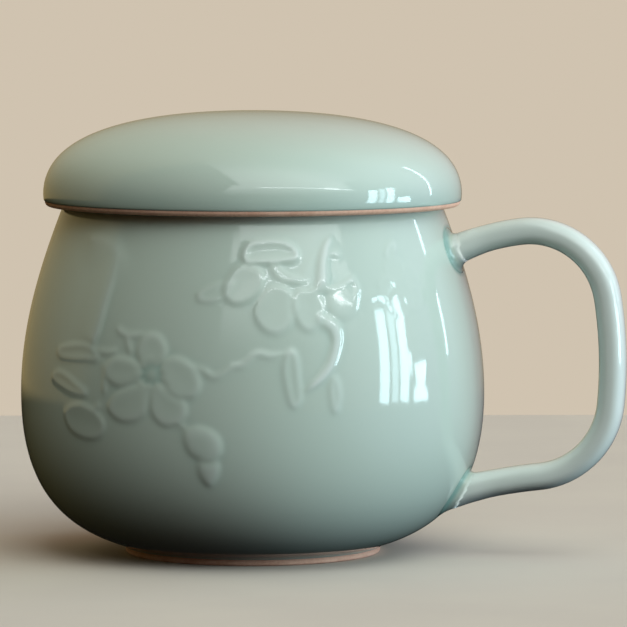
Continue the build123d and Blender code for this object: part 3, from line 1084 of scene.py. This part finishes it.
def facing(direction):
    """How far a ray points in a direction."""
    place = world_tree.nodes.new("ShaderNodeTexCoord")
    product = world_tree.nodes.new("ShaderNodeVectorMath")
    product.operation = "DOT_PRODUCT"
    product.inputs[1].default_value = tuple(direction)
    world_tree.links.new(place.outputs["Generated"], product.inputs[0])
    return product.outputs["Value"]


def soft_limit(direction, low, high):
    """0 for rays that point less than low in a direction and 1 for more than high.

    Where high is the smaller of the two it is the other way round.
    """
    node = world_tree.nodes.new("ShaderNodeMapRange")
    node.interpolation_type = "SMOOTHSTEP"
    node.inputs["From Min"].default_value = low
    node.inputs["From Max"].default_value = high
    world_tree.links.new(facing(direction), node.inputs["Value"])
    return node.outputs["Result"]


def patch(azimuth, elevation, edge=0.55, middle=0.95):
    """Limit of a round, soft patch of light in the room."""
    return in_room(azimuth, elevation), edge, middle


# Each limit is a direction, then how far a ray points in it to count for nothing and in full
above = (up, -0.10, -0.07)
below = (up, -0.07, -0.10)
behind = (towards_camera, 0.15, -0.15)
in_front = (towards_camera, -0.15, 0.15)
rightwards = (side_on, -0.6, 0.9)
leftwards = (side_on, 0.9, -0.6)
low_panes_foot = (up, 0.22, 0.48)
middle_panes_top = (up, 0.62, 0.58)
high_panes_foot = (up, 0.58, 0.62)
high_panes_reach = (towards_camera, -0.30, 0.75)
crossbar = up * 0.857 - side_on * 0.137 - towards_camera * 0.496
over_crossbar = (crossbar, -0.006, 0.006)
under_crossbar = (crossbar, 0.006, -0.006)
low_left_edge = (side_on * 0.911 + towards_camera * 0.356 - up * 0.211, -0.012, 0.012)
high_left_edge = (side_on * 0.970 - towards_camera * 0.046 + up * 0.241, -0.015, 0.015)
right_side = towards_camera * 0.839 - side_on * 0.545
right_edge = (right_side, -0.012, 0.012)
soft_right_edge = (right_side, -0.35, 0.25)
sill = up * 0.851 - side_on * 0.041 - towards_camera * 0.524
over_belly = (up, 0.28, 0.33)
room_parts = {
    "wall_left": ((0.40, 0.30, 0.13), [above, behind, leftwards]),
    "window_low": (
        (1.35, 1.45, 1.45),
        [low_panes_foot, under_crossbar, low_left_edge, right_edge],
    ),
    "window_middle": (
        (2.1, 2.2, 2.2),
        [over_crossbar, middle_panes_top, low_left_edge, right_edge],
    ),
    "window_high": (
        (2.1, 2.2, 2.2),
        [high_panes_foot, high_panes_reach, high_left_edge, soft_right_edge],
    ),
    "sill": (
        (7.0, 7.6, 8.0),
        [(sill, -0.016, -0.006), (sill, 0.016, 0.006), over_belly,
         (side_on, 0.03, 0.08), (side_on, 0.83, 0.78)],
    ),
    "sill_gleam": (
        (6.0, 6.4, 6.6),
        [(sill, -0.03, -0.015), (sill, 0.045, 0.03), over_belly,
         (side_on, 0.585, 0.605), (side_on, 0.715, 0.695)],
    ),
    "room_right": ((0.21, 0.12, 0.03), [above, in_front, rightwards]),
    "floor_right": ((0.02, 0.018, 0.015), [below, rightwards]),
    "overhead_right": ((0.20, 0.38, 0.32), [patch(70, 50)]),
    "side": ((0.33, 0.38, 0.60), [patch(80, 22)]),
    "back_side": ((0.28, 0.08, 0.10), [patch(130, 25)]),
    "back_top": ((0.13, 0.15, 0.18), [patch(180, 50)]),
}


def paint_room(parts):
    """Adds up the parts of the room, each its colour where all its limits let rays through."""
    total = None
    for colour, limits in parts.values():
        weight = None
        for limit in limits:
            share = soft_limit(*limit)
            if weight is not None:
                share = worked_out("ShaderNodeMath", "MULTIPLY", weight, share)
            weight = share
        tint = world_tree.nodes.new("ShaderNodeVectorMath")
        tint.operation = "SCALE"
        tint.inputs[0].default_value = colour
        world_tree.links.new(weight, tint.inputs["Scale"])
        light = tint.outputs["Vector"]
        if total is not None:
            light = worked_out("ShaderNodeVectorMath", "ADD", total, light)
        total = light
    return total


backdrop_colour = (0.63, 0.546, 0.434, 1)
backdrop = world_tree.nodes["Background"]
backdrop.inputs["Color"].default_value = backdrop_colour
room = world_tree.nodes.new("ShaderNodeBackground")
world_tree.links.new(paint_room(room_parts), room.inputs["Color"])
rays = world_tree.nodes.new("ShaderNodeLightPath")
either = world_tree.nodes.new("ShaderNodeMixShader")
world_tree.links.new(rays.outputs["Is Camera Ray"], either.inputs["Fac"])
world_tree.links.new(room.outputs[0], either.inputs[1])
world_tree.links.new(backdrop.outputs[0], either.inputs[2])
world_tree.links.new(either.outputs[0], world_tree.nodes["World Output"].inputs["Surface"])
bpy.context.scene.view_settings.view_transform = "Standard"
